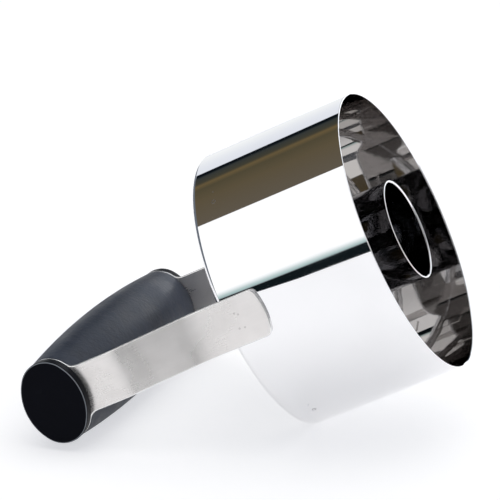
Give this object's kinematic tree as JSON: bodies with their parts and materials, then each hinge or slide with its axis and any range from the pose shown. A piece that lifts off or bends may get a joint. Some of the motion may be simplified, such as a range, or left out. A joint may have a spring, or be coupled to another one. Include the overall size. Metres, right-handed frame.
{
  "type": "doughnut and biscuit cutter",
  "caption": "Round steel dough cutter with a small concentric centre ring, two steel side straps and a rubber barrel grip set across them above the open back.",
  "frame": {"origin": "centre of the cutting rims, on the plane of the cutting edges, with the cutter standing as it is used", "axes": "+Z from the cutting edges to the grip, X along the grip from strap to strap, Y across the grip"},
  "size_m": [0.115, 0.0888, 0.1153],
  "materials": {
    "polished_steel": "mirror-polished stainless steel sheet",
    "satin_steel": "satin-brushed stainless steel sheet",
    "screw_steel": "plain stainless steel screw",
    "grip_rubber": "matte slate-black soft rubber",
    "cap_plastic": "smooth black moulded plastic",
    "core_plastic": "black moulded plastic"
  },
  "bodies": {
    "root": {"cutter_ring": "polished_steel", "centre_ring": "polished_steel", "carrier_plate": "polished_steel", "left_strap": "satin_steel", "right_strap": "satin_steel", "grip_core": "core_plastic", "grip_sleeve": "grip_rubber", "left_screw": "screw_steel", "right_screw": "screw_steel", "left_cap": "cap_plastic", "right_cap": "cap_plastic"}
  },
  "joints": []
}
